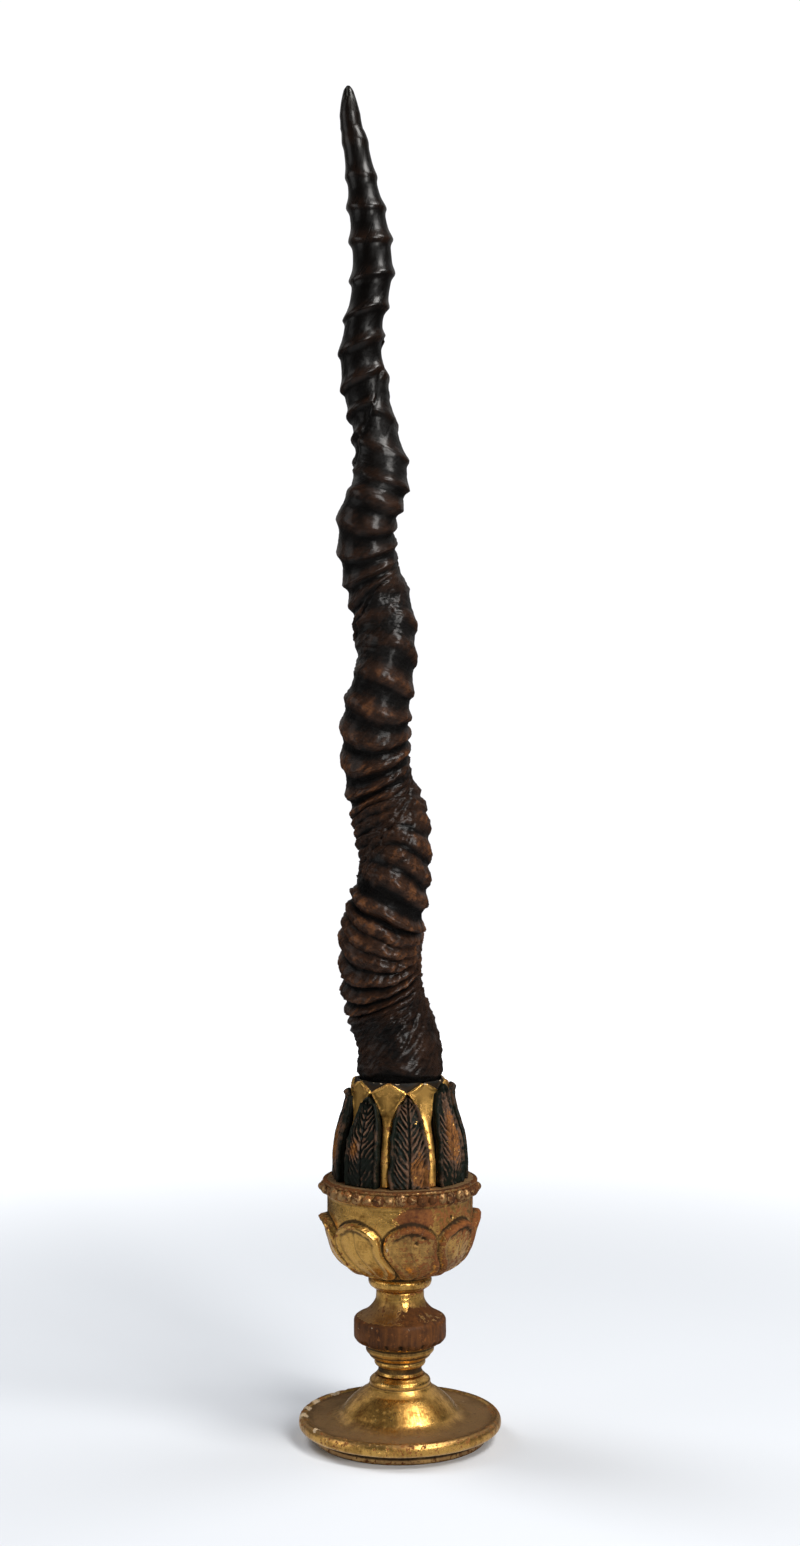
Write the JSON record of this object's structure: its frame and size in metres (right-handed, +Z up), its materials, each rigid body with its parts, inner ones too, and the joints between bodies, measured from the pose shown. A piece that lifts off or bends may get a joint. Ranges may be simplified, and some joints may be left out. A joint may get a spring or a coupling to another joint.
{
  "type": "antelope horn on stand",
  "caption": "Spiral, ringed antelope horn standing upright in a carved leaf socket on a turned and gilded wooden foot; a free-standing display piece.",
  "frame": {"origin": "middle of the foot's flat underside, on the surface that the piece stands on", "axes": "+Z up along the holder's axis towards the horn's tip; -Y is the front, +X to the right of it"},
  "size_m": [0.101, 0.101, 0.6755],
  "materials": {
    "horn": "dark keratin, waxed, semi-gloss, crests worn brown",
    "gilding": "carved wood, water-gilded over red bole, rubbed and chipped",
    "leaf_paint": "carved wood, green-black paint worn to brown wood on the high places",
    "worn_gilding": "turned wood, gilding worn away from the knop, bright in the hollows",
    "burnished_gilding": "turned wood, burnished gold leaf, duller on the disc"
  },
  "bodies": {
    "root": {"horn": "horn", "calyx": "gilding", "calyx_leaf_1": "leaf_paint", "calyx_leaf_2": "leaf_paint", "calyx_leaf_3": "leaf_paint", "calyx_leaf_4": "leaf_paint", "calyx_leaf_5": "leaf_paint", "calyx_leaf_6": "leaf_paint", "calyx_leaf_7": "leaf_paint", "calyx_leaf_8": "leaf_paint", "cup": "gilding", "stem": "worn_gilding", "foot": "burnished_gilding"}
  },
  "joints": []
}
